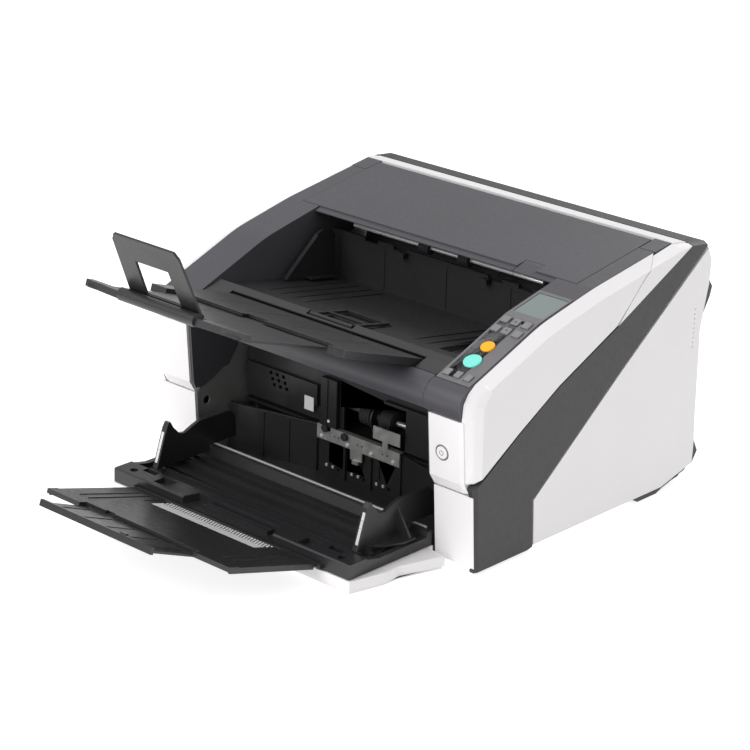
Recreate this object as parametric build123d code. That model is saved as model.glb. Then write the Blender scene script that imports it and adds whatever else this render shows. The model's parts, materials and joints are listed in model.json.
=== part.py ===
from build123d import *
import os
from math import atan2, cos, degrees, dist, radians, sin

# Sheet fed document scanner with a lifting upper unit, a hopper that rises
# with its stack and a stacker on top.  Millimetres, +X right, +Y to the back,
# +Z up.  Everything is laid out about the middle of the body and moved by
# FRAME_Y when it is written, so that the origin is under the box's centre.

os.makedirs("parts", exist_ok=True)

# ---------------------------------------------------------------- body
HALF = 216.0             # half of the overall width
FRAME_Y = 133.37         # moves the body so that the whole box is centred
FLOOR_TOP = 6.5          # inside floor of the base
PAN_BOTTOM = 3.0
SEAM_GAP = 1.2           # gap between the base and the lifting upper unit
PILLAR_IN = 163.0        # inner edge of both front pillars
SIDE_IN = 203.0          # inner side of the outer side panels
TRIM_OUT = 202.5         # outer edge of the dark top trims
WALL = 3.0               # usual moulded wall

# side outline points, (y, z)
PILLAR_SPLIT = (-173.0, 80.0)
BAND_FRONT = (-176.6, 89.3)
BAND_MID = (-57.0, 163.0)
BAND_KNEE = (-114.0, 130.0)
SEAM_LOW = (29.0, 202.0)
BAND_TOP_IN = (145.0, 261.5)
BAND_TOP_OUT = (172.2, 256.6)
BAND_LOW_KNEE = (-50.0, 85.5)
BAND_LOW_MID = (38.0, 154.0)
BAND_LOW_END = (-88.5, 55.0)
LEFT_BAND_START = -149.0 # where the band begins on the left side

# top line of the upper unit, front to back
TOP_FRONT = (-175.0, 187.4)
TOP_BEND = (-76.0, 226.4)
TOP_COVER = (2.0, 244.3)
TOP_END = (98.5, 260.1)
TOP_BACK = (120.5, 263.8)
TOP_SOFTEN = 14.0        # how far each bend of the top line reaches

# hinge of the upper unit
HINGE_Y = 118.0
HINGE_Z = 254.5
HINGE_PIN_R = 3.0
HINGE_FIT = 0.06

# ---------------------------------------------------------------- stacker
TRIM_IN = 159.5          # inner edge of the dark top trims
BAY_HALF = 159.0         # half width of the stacker tray
RIM_FRONT = -152.5
RIM_BACK = -143.0
TRAY_BACK = (20.0, 165.0)
TRAY_FRONT = (-136.0, 190.0)
EXIT_WALL_Y = 24.0
EXIT_WALL_TOP = 216.0
EXIT_SHAFT = (23.0, 226.8)
EXT_ANGLE = 18.0         # rise of the stacker extensions towards the front
EXT_START = (-152.5, 191.0)
EXT_THICK = 3.2

# ---------------------------------------------------------------- hopper
TABLE_HALF = 160.5
TABLE_FRONT = -285.5
TABLE_BACK = -167.0
TABLE_RIM_Z = 30.0
TABLE_FLOOR_Z = 20.5
TABLE_BOTTOM = 15.5
GUIDE_IN = 134.0         # inner face of each hopper side guide
CHUTE_ANGLE = 15.7       # rise of the first hopper extension
CHUTE_START = (-288.3, 19.3)
TONGUE_ANGLE = 21.4      # rise of the second hopper extension
TONGUE_START = (-385.0, 43.6)
HINGE_LUG_R = 1.3        # pins of the first hopper extension

# ---------------------------------------------------------------- bay wall
WALL_Y = -100.0
WALL_TOP = 57.0
WING_Y = -122.0


# ================================================================ helpers
def prism_x(points, x0, x1):
    """A side outline of (y, z) points carried from x0 to x1."""
    plane = Plane(origin=(x0, 0, 0), x_dir=(0, 1, 0), z_dir=(1, 0, 0))
    return extrude(plane * Polygon(*points, align=None), amount=x1 - x0, dir=(1, 0, 0))


def prism_y(points, y0, y1):
    """A front outline of (x, z) points carried from y0 to y1."""
    plane = Plane(origin=(0, y0, 0), x_dir=(1, 0, 0), z_dir=(0, -1, 0))
    return extrude(plane * Polygon(*points, align=None), amount=y1 - y0, dir=(0, 1, 0))


def prism_z(points, z0, z1):
    """A plan outline of (x, y) points carried from z0 to z1."""
    plane = Plane(origin=(0, 0, z0))
    return extrude(plane * Polygon(*points, align=None), amount=z1 - z0, dir=(0, 0, 1))


def block(x0, x1, y0, y1, z0, z1):
    centre = Pos((x0 + x1) / 2, (y0 + y1) / 2, (z0 + z1) / 2)
    return centre * Box(x1 - x0, y1 - y0, z1 - z0)


def rounded_block(x0, x1, y0, y1, z0, z1, radius, axis=Axis.Z):
    body = block(x0, x1, y0, y1, z0, z1)
    return fillet(body.edges().filter_by(axis), radius)


def rod_x(y, z, radius, x0, x1):
    return Pos((x0 + x1) / 2, y, z) * Rot(0, 90, 0) * Cylinder(radius, x1 - x0)


def rod_y(x, z, radius, y0, y1):
    return Pos(x, (y0 + y1) / 2, z) * Rot(90, 0, 0) * Cylinder(radius, y1 - y0)


def rod_z(x, y, radius, z0, z1):
    return Pos(x, y, (z0 + z1) / 2) * Cylinder(radius, z1 - z0)


def side_loft(sections):
    """A ruled solid through side outlines given as (x, points) pairs."""
    faces = []
    for x, points in sections:
        plane = Plane(origin=(x, 0, 0), x_dir=(0, 1, 0), z_dir=(1, 0, 0))
        faces.append(plane * Polygon(*points, align=None))
    return loft(faces, ruled=True)


def both_sides(solid):
    """The right-hand solid and its mirror image."""
    return mirror(solid, about=Plane.YZ), solid


def save(node, *solids):
    """Write one sub-part from separate solids."""
    pieces = []
    for item in solids:
        pieces.extend(item.solids())
    shape = pieces[0] if len(pieces) == 1 else Compound(children=pieces)
    export_step(Pos(0, FRAME_Y, 0) * shape, os.path.join("parts", node + ".step"))


def save_pair(name, right):
    left_side, right_side = both_sides(right)
    save("left_" + name, left_side)
    save("right_" + name, right_side)


def slope_plane(start, angle):
    """A plane whose y axis climbs to the back at the given angle."""
    tilt = radians(angle)
    return Plane(origin=(0, start[0], start[1]), x_dir=(1, 0, 0), z_dir=(0, -sin(tilt), cos(tilt)))


def rise(low, high):
    """Angle of the line from one (y, z) point to a higher one."""
    return degrees(atan2(high[1] - low[1], high[0] - low[0]))


PANEL_ANGLE = rise(TOP_FRONT, TOP_BEND)
PANEL = slope_plane(TOP_FRONT, PANEL_ANGLE)
SCREEN_ANGLE = rise(TOP_BEND, TOP_COVER)
SCREEN = slope_plane(TOP_BEND, SCREEN_ANGLE)
EXT = slope_plane(EXT_START, -EXT_ANGLE)
CHUTE = slope_plane(CHUTE_START, -CHUTE_ANGLE)
TONGUE = slope_plane(TONGUE_START, -TONGUE_ANGLE)


def panel_s(y):
    """Distance up the key part of the operator panel for a given y."""
    return (y - TOP_FRONT[0]) / cos(radians(PANEL_ANGLE))


def screen_s(y):
    """Distance up the screen part of the operator panel for a given y."""
    return (y - TOP_BEND[0]) / cos(radians(SCREEN_ANGLE))


def slab(plane, x0, x1, s0, s1, h0, h1):
    """A block on a sloping plane: s along the slope, h off the plane."""
    centre = Pos((x0 + x1) / 2, (s0 + s1) / 2, (h0 + h1) / 2)
    return plane * centre * Box(x1 - x0, s1 - s0, h1 - h0)


def sheet(plane, points, h0, h1):
    """An outline of (x, s) points on a sloping plane, from h0 to h1."""
    solid = extrude(Polygon(*points, align=None), amount=h1 - h0, dir=(0, 0, 1))
    return plane * Pos(0, 0, h0) * solid


def lowered(points, drop):
    return [(y, z - drop) for y, z in points]


def part_way(start, end, share):
    return tuple(a + (b - a) * share for a, b in zip(start, end))


def eased(points, reach, steps=6):
    """A line of points with each inner corner drawn out into a soft bend."""
    line = [points[0]]
    for before, corner, after in zip(points, points[1:], points[2:]):
        start = part_way(corner, before, reach / dist(corner, before))
        end = part_way(corner, after, reach / dist(corner, after))
        for step in range(steps + 1):
            share = step / steps
            line.append(part_way(part_way(start, corner, share), part_way(corner, end, share), share))
    line.append(points[-1])
    return line


def grown(points, margin):
    """An outline spread out from its middle by a margin."""
    middle = (sum(p[0] for p in points) / len(points), sum(p[1] for p in points) / len(points))
    return [part_way(middle, p, 1 + margin / dist(middle, p)) for p in points]


# ================================================================ base
def base_pan():
    """Floor tray of the base, with a low rim and a dark skirt below each rear side panel."""
    plan = [(-161, -164), (161, -164), (161, -147), (196, -147), (196, 161), (-196, 161), (-196, -147),
            (-161, -147)]
    pan = prism_z(plan, PAN_BOTTOM, FLOOR_TOP)
    rim = block(-196, 196, -145, 161, FLOOR_TOP, 12) - block(-193.5, 193.5, -146, 158.5, FLOOR_TOP, 12)
    pan += rim
    for x in range(-75, 76, 50):
        pan += block(x - 1, x + 1, 60, 120, FLOOR_TOP, FLOOR_TOP + 1.5)
    skirt = prism_x([(78, 5.2), (85, 0.4), (116, 0.4), (125, 3.8), (141.5, 7.9), (153, 9.4), (154, 12.3),
                     (162.5, 12.8), (166, 15.8), (122, 5.2)], 200, 214.5)
    skirt += block(195, 201, 86, 116, PAN_BOTTOM, 5.2)
    left, right = both_sides(skirt)
    return pan + left + right


def rubber_feet():
    feet = []
    for x in (-182, 182):
        for y in (-132, 142):
            foot = rod_z(x, y, 10, 0, PAN_BOTTOM)
            feet.append(chamfer(foot.edges().sort_by(Axis.Z)[0], 0.8))
    return feet


def side_band():
    """Dark diagonal band on the right side, from the front foot to the rear top corner."""
    outline = [
        (-167.5, 1.5), (-173.2, 80), BAND_FRONT, BAND_KNEE, BAND_MID, SEAM_LOW, BAND_TOP_IN, (170.5, 259),
        BAND_TOP_OUT, BAND_LOW_MID, BAND_LOW_KNEE, BAND_LOW_END, (-85, 5), (-92, 1.5),
    ]
    soft = [
        (-166.5, 3.5), (-171.8, 80), (-173, 91), BAND_KNEE, BAND_MID, SEAM_LOW, (144.6, 259.6), (170, 256.7),
        (171.5, 254.6), BAND_LOW_MID, BAND_LOW_KNEE, BAND_LOW_END, (-85, 5), (-92, 3.5),
    ]
    skin = side_loft([(206.5, outline), (211.5, outline), (HALF, soft)])
    corner = prism_x([(151, 260.3), (170.5, 259), BAND_TOP_OUT, (168, 244), (156, 243)], 199.5, 206.5)
    behind_pillar = prism_x([(-180, 5), (-180, 80.4), (-160.5, 80.4), (-158.6, 5)], 206, 212)
    return skin + corner - behind_pillar


def left_side_band():
    """The left band ends behind the corner of the lower pillar."""
    band = mirror(side_band(), about=Plane.YZ)
    return band - block(-220, -200, -185, LEFT_BAND_START, -1, 112)


def rear_top_bar():
    """Dark bar across the rear top between the two side bands."""
    outline = [(151, 260.3), (170.5, 259), (172.2, 256.6), (171, 244), (156, 243)]
    bar = prism_x(outline, -199, 199)
    return bar - prism_x([(155.5, 257.5), (168, 256.4), (167.5, 242), (157, 242)], -195, 195)


def rear_collar():
    """Pale strip across the rear top that turns forward into the two side corners."""
    strip = prism_x([(125.5, 264.6), (147, 261.2), (150, 259.6), (150, 248), (147, 248), (146.5, 257.6),
                     (128.5, 260.8), (128.5, 250), (125.5, 250)], -206, 206)
    front = [(30.6, 203.2), (49.8, 223.3), (68.1, 241.6)]
    corner = front + [(88.6, 253.8), (94.2, 257.9), (126, 264), (144, 261.3)]
    edge = front + [(87.4, 253.2), (93.2, 257.1), (126, 263.6), (144, 261.3)]
    middle = front + [(81, 250.6), (84.7, 252.7), (125.6, 260.8), (144, 261.3)]
    low = front + [(75.8, 247.6), (77.8, 250), (125, 257.8), (144.2, 259.6)]
    right = side_loft([(205, corner), (206, edge), (211.5, middle), (HALF, low)])
    left = mirror(right, about=Plane.YZ)
    return strip + right + left


def rear_panel():
    """Pale lower side panel with its rounded rear corner return."""
    outline = [
        (-83.8, 5.5), (122, 5.5), (174.5, 18.3), (175.3, 44), (173.5, 66.5), (170.6, 165.3), (173.6, 183.4),
        (180.3, 213.8), (181.3, 238.7), (174.6, 253.4), (39, 152.3), (-49.2, 84), (-87, 54.4),
    ]
    soft = [
        (-83.8, 6.8), (122, 6.6), (173.2, 19.2), (173.8, 43.9), (172, 66.5), (169, 165.3), (172.1, 183.4),
        (178.8, 213.8), (179.8, 238.2), (173.2, 251.6), (39, 152.3), (-49.2, 84), (-87, 54.4),
    ]
    skin = side_loft([(198, outline), (212, outline), (HALF, soft)])
    inside = [(-76, 10), (121, 10), (160, 21), (167, 236), (38, 140), (-47, 75), (-78, 51)]
    hollow = prism_x(inside, 190, 212.5)
    vents = []
    for row in range(9):
        vents.append(rod_x(158, 190 - 5 * row, 0.9, 212, 217))
    band_corner = block(190, 206.9, 140, 185, 242.3, 262)
    behind = prism_x(grown(GRIP, 0.5), 190, 213.5) + prism_x(grown(BUMP, 0.5), 190, 213.5)
    return skin - hollow - band_corner - behind - vents


# side outlines of the grips and the low bumps on the back
GRIP = [(172, 216.5), (182, 216.5), (189, 207), (186, 197), (176, 180), (170.5, 180)]
BUMP = [(169.5, 43), (178.2, 42), (185.4, 28.6), (178, 17.4), (169.5, 18)]


def rear_cover():
    """Back of the base with ventilation slots, port recess and two grips."""
    shell = [(163, 13), (168, 13), (174, 120), (175.5, 238), (171, 241.5), (163, 241.5)]
    cover = prism_x(shell, -197.5, 197.5)
    cover -= prism_x([(160, 17), (165, 17), (170.5, 120), (172, 236), (160, 238)], -194, 194)
    for col in range(14):
        x = -150 + 9 * col
        cover -= block(x - 2, x + 2, 160, 180, 120, 190)
    cover -= block(88, 152, 160, 180, 34, 62)
    cover -= block(-160, -126, 160, 180, 30, 56)
    grip = prism_x(GRIP, 117, 213) + prism_x(BUMP, 160, 213)
    grip_left, grip_right = both_sides(grip)
    return cover + grip_left + grip_right


def lower_pillar():
    """Pale lower front pillar, right side."""
    front = [(-167, 5.5), PILLAR_SPLIT, (-150, 80), (-150, 5.5)]
    body = prism_x(front, PILLAR_IN, 206)
    body += prism_x([(-167, 5.5), PILLAR_SPLIT, (-161, 80), (-159.1, 5.5)], 205.5, 211.6)
    hollow = prism_x([(-163.5, 8), (-169, 77), (-148, 77), (-148, 8)], PILLAR_IN + 3, 203.5)
    inner = prism_x([(-163.2, 5), (-169.3, 81), (-148, 81), (-148, 5)], PILLAR_IN - 1, PILLAR_IN + 3.1)
    return body - hollow - inner


def left_lower_pillar():
    """The left pillar also carries the pale outer corner."""
    inside = [(-165, 5.5), (-172, 80), (-176.5, 88.6), (LEFT_BAND_START - 0.5, 105.8),
              (LEFT_BAND_START - 0.5, 5.5)]
    outside = [(-153, 5.5), (-154, 59), (-162, 97), (LEFT_BAND_START - 0.5, 105.8),
               (LEFT_BAND_START - 0.5, 5.5)]
    corner = side_loft([(205.9, inside), (HALF, outside)])
    corner -= prism_x([(-162, 9), (-167, 78), (LEFT_BAND_START, 96), (LEFT_BAND_START, 9)], 203, 209)
    return mirror(lower_pillar() + corner, about=Plane.YZ)


def right_lower_pillar():
    """The right pillar carries a blank rating plate."""
    return lower_pillar() + Pos(186, -168.2, 29) * Rot(4.6, 0, 0) * Box(26, 1.2, 30)


def hopper_base():
    """Pale tongue on the floor that carries the lifting hopper."""
    plan = [(-162, -286.5), (162, -286.5), (171, -247), (171, -227), (185, -178), (161, -176),
            (161, -168), (-161, -168), (-161, -176), (-185, -178), (-171, -227), (-171, -247)]
    low = [(x * 0.985, y * 0.99 if y < -200 else y) for x, y in plan]
    body = prism_z(plan, 4, 14.5) + prism_z(low, 0, 4)
    inner = [(-150, -276), (150, -276), (158, -240), (158, -180), (-158, -180), (-158, -240)]
    body -= prism_z(inner, -1, 12)
    for y in (-262, -232, -202):
        body += block(-156, 156, y - 1.5, y + 1.5, 1, 12.5) & prism_z(inner, 0, 13)
    return body


def side_frame():
    """Steel side frame with the gusset that shows inside the bay, right side."""
    outline = [
        (-162, FLOOR_TOP), (-168, 77), (-160.6, 83.5), (-134, 97.5), (-128, 97.5), (-112, 118),
        (-57, 148), (20, 184), (90, 222), (120, 230), (120, FLOOR_TOP),
    ]
    frame = prism_x(outline, 163.6, 165.2)
    frame += prism_x([(-160.6, 14), (-166.2, 76), (-164.6, 76), (-159, 14)], 163.6, 176)
    frame -= rod_x(-155, 67, 4.4, 160, 170)
    frame -= rod_x(-150, 34, 4.4, 160, 170)
    for y, z in ((-90, 40), (-30, 60), (40, 90), (90, 130)):
        frame -= rod_x(y, z, 9, 160, 170)
    return frame


def bay_wall():
    """Ribbed wall behind the hopper that the stack's front edge meets."""
    plan = [
        (-162, WING_Y - 2), (-150, WING_Y), (-57, WALL_Y), (57, WALL_Y), (150, WING_Y), (162, WING_Y - 2),
        (162, WING_Y + 2), (150, WING_Y + 4), (57, WALL_Y + 4), (-57, WALL_Y + 4), (-150, WING_Y + 4),
        (-162, WING_Y + 2),
    ]
    wall = prism_z(plan, FLOOR_TOP, WALL_TOP)
    for x in (-57.5, -17.8, 17.8, 57.5):
        wall += block(x - 1.4, x + 1.4, WALL_Y - 2.5, WALL_Y + 2, FLOOR_TOP, WALL_TOP - 1)
    for x in (-90, -120):
        wall += block(x - 0.8, x + 0.8, -116, -104, FLOOR_TOP, WALL_TOP - 2) & prism_z(
            [(p[0], p[1] - 1.2) for p in plan], FLOOR_TOP, WALL_TOP)
    for centre in (-35, 0, 34):
        for side in (-5, 5):
            wall -= block(centre + side - 0.7, centre + side + 0.7, -104, WALL_Y + 1.6, 20, 40)
        wall += block(centre - 9, centre + 9, WALL_Y - 3.5, WALL_Y + 1, 14.5, 17)
    deck = block(-162, 162, WALL_Y, -60, WALL_TOP - 3, WALL_TOP)
    return wall + deck


def guide_bracket():
    """Zinc strip with sensor tabs over the top of the bay wall."""
    strip = block(-54.5, 58.5, -104.4, -102.8, 44.5, 59)
    strip += block(-54.5, 58.5, -104.4, -98, 58, 59.6)
    strip += block(-8, 8, -104.4, -102.8, 34, 46)
    strip += block(-3, 5, -107, -102.8, 31, 35)
    strip -= block(-46, -36, -106, -100, 55, 61)
    for x in (-30, -24, 2, 8, 36, 42):
        strip -= rod_y(x, 52, 1.0, -106, -100)
    flap = block(24, 60, -106.5, -105.3, 67, 80.5)
    foot = block(37, 44, -106.5, -98.5, 59.4, 60.8) + block(37, 44, -106.5, -105.3, 59.4, 68)
    return strip + foot + flap


def hinge_covers():
    """Two dark caps beside the top cover, each with the hinge pin of the upper unit."""
    side = [(99.5, 239), (99.5, 260.3), (124.8, 264.2), (124.8, 239)]
    cap = prism_x(side, 184, 204)
    cap -= prism_x([(102, 238), (102, 257), (122, 260), (122, 238)], 186.5, 201.5)
    return both_sides(cap + rod_x(HINGE_Y, HINGE_Z, HINGE_PIN_R, 170, 203))


def lower_scan_unit():
    """Lower image reader: housing with a glass window along its top."""
    housing = rounded_block(-158, 158, -55, 35, 62, 103, 4, Axis.X)
    housing -= block(-152, 152, -18, 6, 101.5, 104)
    feet = block(-158, -146, -45, 25, 8, 62) + block(146, 158, -45, 25, 8, 62)
    return housing + feet


def power_supply():
    case = rounded_block(-158, -92, 46, 156, 8.1, 54, 2, Axis.Z)
    for row in range(8):
        case -= block(-150, -100, 56 + 12 * row, 60 + 12 * row, 52.5, 56)
    return case


def main_board():
    """Control board with its chips and port shells."""
    board = block(-80, 156, 150, 151.6, 24, 106)
    for x0, x1, z0, z1 in ((90, 104, 40, 56), (110, 126, 40, 56), (132, 150, 42, 52)):
        board += block(x0, x1, 151.6, 164, z0, z1)
        board -= block(x0 + 1, x1 - 1, 155, 165, z0 + 1, z1 - 1)
        board += block(x0 + 4, x1 - 4, 154, 161, (z0 + z1) / 2 - 1, (z0 + z1) / 2 + 1)
    return board + block(-30, 0, 146.5, 150, 50, 80) + block(20, 36, 147, 150, 60, 76)


def power_inlet():
    """Three-pin appliance inlet in the back."""
    shell = rounded_block(-157, -129, 156.5, 171, 32, 54, 3, Axis.Y)
    shell -= rounded_block(-154.5, -131.5, 160, 172, 34.5, 51.5, 3, Axis.Y)
    for x, z in ((-143, 46.5), (-149, 40), (-137, 40)):
        shell += block(x - 1, x + 1, 159, 169, z - 2, z + 2)
    return shell


def feed_motor():
    """Stepper motor with a toothed pulley on the right side frame."""
    motor = rounded_block(168, 196, -40, 2, 24, 66, 4, Axis.X)
    return motor + rod_x(-19, 45, 2.5, 165.2, 169) + rod_x(-19, 45, 10, 196, 201)


# ================================================================ upper unit
def upper_panel():
    """Pale side panel of the lifting unit with its front pillar, right side."""
    seam = [(BAND_KNEE[0] - 0.7, BAND_KNEE[1] + SEAM_GAP), (BAND_MID[0] - 0.7, BAND_MID[1] + SEAM_GAP),
            (SEAM_LOW[0] - 1.6, SEAM_LOW[1] + SEAM_GAP), (49, 223.9), (67.3, 242.2)]
    full = [(-179, 94.4), (-176.8, 91.9), *seam, (90.2, 254.8), *top_edge(0.2, 97),
            (-168, 190), (-177, 183.3), (-183, 174), (-184.6, 160), (-184, 150)]
    soft = [(-177, 94.8), (-174.8, 93.2), *seam, (86.4, 253.4), *top_edge(1.9, 92.2),
            (-166, 188.6), (-175, 181.4), (-181, 172.6), (-183, 160), (-182, 150)]
    middle = [(-173.6, 95.8), (-172.2, 94.8), *seam, (80, 251), *top_edge(5, 83.6),
              (-161, 186.2), (-169.6, 179.2), (-175.6, 172), (-177, 160), (-176, 150)]
    outer = [(-167, 99.2), (-166, 98.7), *seam, (74.8, 248.2), *top_edge(7.4, 76.4),
             (-155, 184.4), (-163.6, 176.6), (-168, 168.5), (-169, 159), (-168, 150)]
    skin = side_loft([(SIDE_IN, full), (206, soft), (211.5, middle), (HALF, outer)])
    hollow = prism_x([(-163, 104), (-112, 138), (-56, 170), (28, 208), (54, 224), (74, 238),
                      (4, 230), (-72, 212), (-120, 193), (-152, 178), (-163, 164)], 200, 212)
    face = [(-180, 93), (-172.7, 81.5), (-166, 81.5), (-166, 156.6), (-185.4, 156.6), (-185, 150)]
    edge = [(-179, 93.6), (-171.7, 82.1), (-166, 82.1), (-166, 156.6), (-184.4, 156.6), (-184, 150)]
    pillar = prism_x(face, PILLAR_IN, 200) + side_loft([(200, face), (205, edge)])
    core = [(-177.2, 95), (-163, 84), (-163, 154), (-182.4, 154), (-182, 150)]
    pillar -= prism_x(core, PILLAR_IN + 2.6, 203)
    return skin - hollow + pillar


def top_edge(drop, rear):
    """The top side line from the rear seam to the front, lowered for the bevel."""
    behind = part_way(TOP_COVER, TOP_END, (rear - TOP_COVER[0]) / (TOP_END[0] - TOP_COVER[0]))
    return eased(lowered([behind, TOP_COVER, TOP_BEND, (-160, 193.3)], drop), TOP_SOFTEN)


def nose(x0, x1, depth=WALL):
    """Rolled front edge of the upper unit."""
    outline = Polyline((-171, 188.6), (-175, 187.3))
    roll = ThreePointArc((-175, 187.3), (-186.4, 178.5), (-188.6, 166))
    under = Polyline((-188.6, 166), (-187.5, 160), (-183, 159.6), (-181, 157), (-171, 157), (-171, 188.6))
    plane = Plane(origin=(x0, 0, 0), x_dir=(0, 1, 0), z_dir=(1, 0, 0))
    body = extrude(plane * make_face(outline + roll + under), amount=x1 - x0, dir=(1, 0, 0))
    hollow = prism_x([(-170, 185.5), (-175, 184), (-183, 178), (-185.4, 166), (-184.8, 163), (-179, 162.5),
                      (-178, 160), (-170, 160)], x0 + depth, x1 - depth)
    return body - hollow


def trim():
    """Dark top trim of the right side with its inner wall and rolled front end."""
    front = eased([TOP_FRONT, TOP_BEND, TOP_COVER], TOP_SOFTEN)
    plate = prism_x(front + lowered(front, WALL)[::-1], TRIM_IN, TRIM_OUT)
    beside_lid = [(1.2, TOP_COVER[1] - 0.2), TOP_COVER, TOP_END]
    plate += prism_x(beside_lid + lowered(beside_lid, WALL)[::-1], 183.5, TRIM_OUT)
    plate += prism_x(lowered(beside_lid, WALL - 0.2) + lowered(beside_lid, 2 * WALL)[::-1], TRIM_IN, TRIM_OUT)
    wall_outline = [(-174.6, 86), (-177.4, 93.5), (-182.2, 150), (-182.6, 157.8), (-165.5, 157.8),
                    (-165.5, 188.8)] + lowered(front[1:], 1.3)
    wall_outline += [(2.1, 240), (100, 255.8), (100, 230), (90, 226), (20, 188), (-57, 152),
                     (-112, 122), (-128.5, 99.5), (-134.5, 99.5), (-161, 86)]
    wall = prism_x(wall_outline, TRIM_IN, TRIM_IN + WALL)
    knuckle = rod_x(HINGE_Y, HINGE_Z, 5, 171, 182.5)
    arm = prism_x([(92, 240), (92, 253), (HINGE_Y - 1, HINGE_Z + 4.8), (HINGE_Y, HINGE_Z - 5)], 171, 182.5)
    link = prism_x([(92, 241), (92, 253), (99, 254), (99, 243)], TRIM_IN + 1, 182.5)
    bore = rod_x(HINGE_Y, HINGE_Z, HINGE_PIN_R + HINGE_FIT, 158, 190)
    return plate + wall + link + nose(158.5, TRIM_OUT) + (knuckle + arm - bore)


def left_trim():
    return mirror(trim(), about=Plane.YZ)


def right_trim():
    """The right trim has a pocket that takes the operator panel."""
    keys = slab(PANEL, 161.6, 201, panel_s(-174), panel_s(-76.3), -12, 5)
    keys += slab(PANEL, TRIM_IN - 1, 201.4, panel_s(-174), panel_s(-76), -2.6, 5)
    screen = slab(SCREEN, TRIM_IN - 1, 201.4, screen_s(-78), screen_s(-24.5), -2.6, 5)
    screen += slab(SCREEN, 163, 200, screen_s(-80), screen_s(-27), -8, 5)
    return trim() - keys - screen


def front_bar():
    return nose(-158, 158)


LATCH = (108.5, 131.5)    # sides of the release latch in the lid
LATCH_BACK = 17.0


def lid_lip(x0, x1, y1):
    """Front lip of the lid back to y1, where the top carries on."""
    slope = (TOP_BACK[1] - 246.3) / (TOP_BACK[0] - 13)
    top = (y1, 246.3 + slope * (y1 - 13))
    return prism_x([(-4, 239.8), (-4, 240.9), (13, 246.3), top, (y1, top[1] - 3.1), (13, 243.2), (0, 239.4)],
                   x0, x1)


def top_cover():
    """Dark lid over the exit rollers, with a thin bevelled front lip cut out for the latch."""
    back = TOP_BACK[0]
    lid = lid_lip(-158.9, 158.9, 40)
    lid += prism_x([(38, 250), TOP_BACK, (back, 255), (back - 2.9, 255), (back - 2.9, 259.8), (38, 247.3)],
                   -158.9, 158.9)
    wide = [(2.8, 244.6), (13, 246.3), TOP_BACK, (back, 261.2), (13, 244), (2.8, 242.3)]
    lid += prism_x(wide, -183, 183)
    for x in (-120, -60, 0, 60, 120):
        lid += prism_x([(34, 248), (100, 258.5), (100, 253), (60, 246)], x - 1, x + 1)
    return lid - block(LATCH[0] - 0.4, LATCH[1] + 0.4, -6, LATCH_BACK + 0.4, 235, 250)


def stacker_tray():
    """Sloping floor of the stacker, its front rim and the wall under the exit rollers."""
    rim_z0 = 193.8
    rim_z1 = 197.0
    floor = [
        (RIM_FRONT, rim_z0), (RIM_BACK, rim_z1), (RIM_BACK + 2, 195), TRAY_FRONT, TRAY_BACK,
        (EXIT_WALL_Y + 3, 165), (EXIT_WALL_Y + 3, 161.5), (TRAY_BACK[0], 161.8),
        (TRAY_FRONT[0], 187.2), (RIM_BACK, 190.2), (RIM_FRONT, 192.4),
    ]
    tray = prism_x(floor, -BAY_HALF, BAY_HALF)
    apron = [(RIM_FRONT - 18, 188.8), (RIM_FRONT, rim_z0), (RIM_FRONT, 191.6), (RIM_FRONT - 18, 185.8)]
    for x0, x1 in ((-158, -130.5), (130.5, 158)):
        tray += prism_x(apron, x0, x1)
    tray += block(-BAY_HALF, BAY_HALF, EXIT_WALL_Y, EXIT_WALL_Y + WALL, 161.5, EXIT_WALL_TOP)
    for x in (-104, -64, 64, 104):
        tray -= block(x - 9, x + 9, EXIT_WALL_Y - 1, EXIT_WALL_Y + 4, EXIT_WALL_TOP - 4, EXIT_WALL_TOP + 1)
    for x in (-85, 0, 85):
        tray += block(x - 0.9, x + 0.9, EXIT_WALL_Y - 0.8, EXIT_WALL_Y + 1, 166, EXIT_WALL_TOP - 6)
    slope = (TRAY_BACK[1] - TRAY_FRONT[1]) / (TRAY_BACK[0] - TRAY_FRONT[0])
    for x in (-125, -108, -91, -74, 74, 91, 108, 125):
        low = TRAY_FRONT[1] + slope * 26
        rib = [(-110, low - 1), (-110, low + 0.2), (-100, low + slope * 10 + 0.9),
               (10, TRAY_FRONT[1] + slope * 146 + 0.9), (14, TRAY_BACK[1] - 1)]
        tray += prism_x(rib, x - 0.8, x + 0.8)
    tray -= block(-31, 31, -150, -141.5, 191.2, 200)
    tray -= prism_x([(-142, 200), (-142, 189.5), (-89, 180.7), (-89, 200)], -31, 31)
    tray += prism_x([(-142, 190), (-89, 181.2), (-89, 178.6), (-142, 188.3)], -32, 32)
    for x in (-56, 56):
        tray += block(x - 3.5, x + 3.5, 16, EXIT_WALL_Y, 208, 214)
    return tray


# keys: x, y of the centre, half width, half depth
KEYS = {
    "menu_key": (167.5, -83.2, 4.4, 4.4),
    "up_key": (180.0, -83.2, 4.4, 4.4),
    "cancel_key": (193.0, -83.2, 4.4, 4.4),
    "function_key": (167.5, -97.0, 4.4, 4.4),
    "down_key": (180.0, -97.0, 4.4, 4.4),
    "enter_key": (193.0, -97.0, 4.4, 4.4),
    "feed_key": (167.5, -164.3, 3.6, 4.2),
    "eject_key": (180.0, -164.3, 3.6, 4.2),
    "rise_key": (192.5, -164.3, 3.6, 4.2),
}
ROUND_BUTTONS = {"stop_button": (178.5, -121.8, 7.2), "scan_button": (179.0, -143.8, 9.2)}
PANEL_IN = 160.2
PANEL_OUT = 201.0


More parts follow.
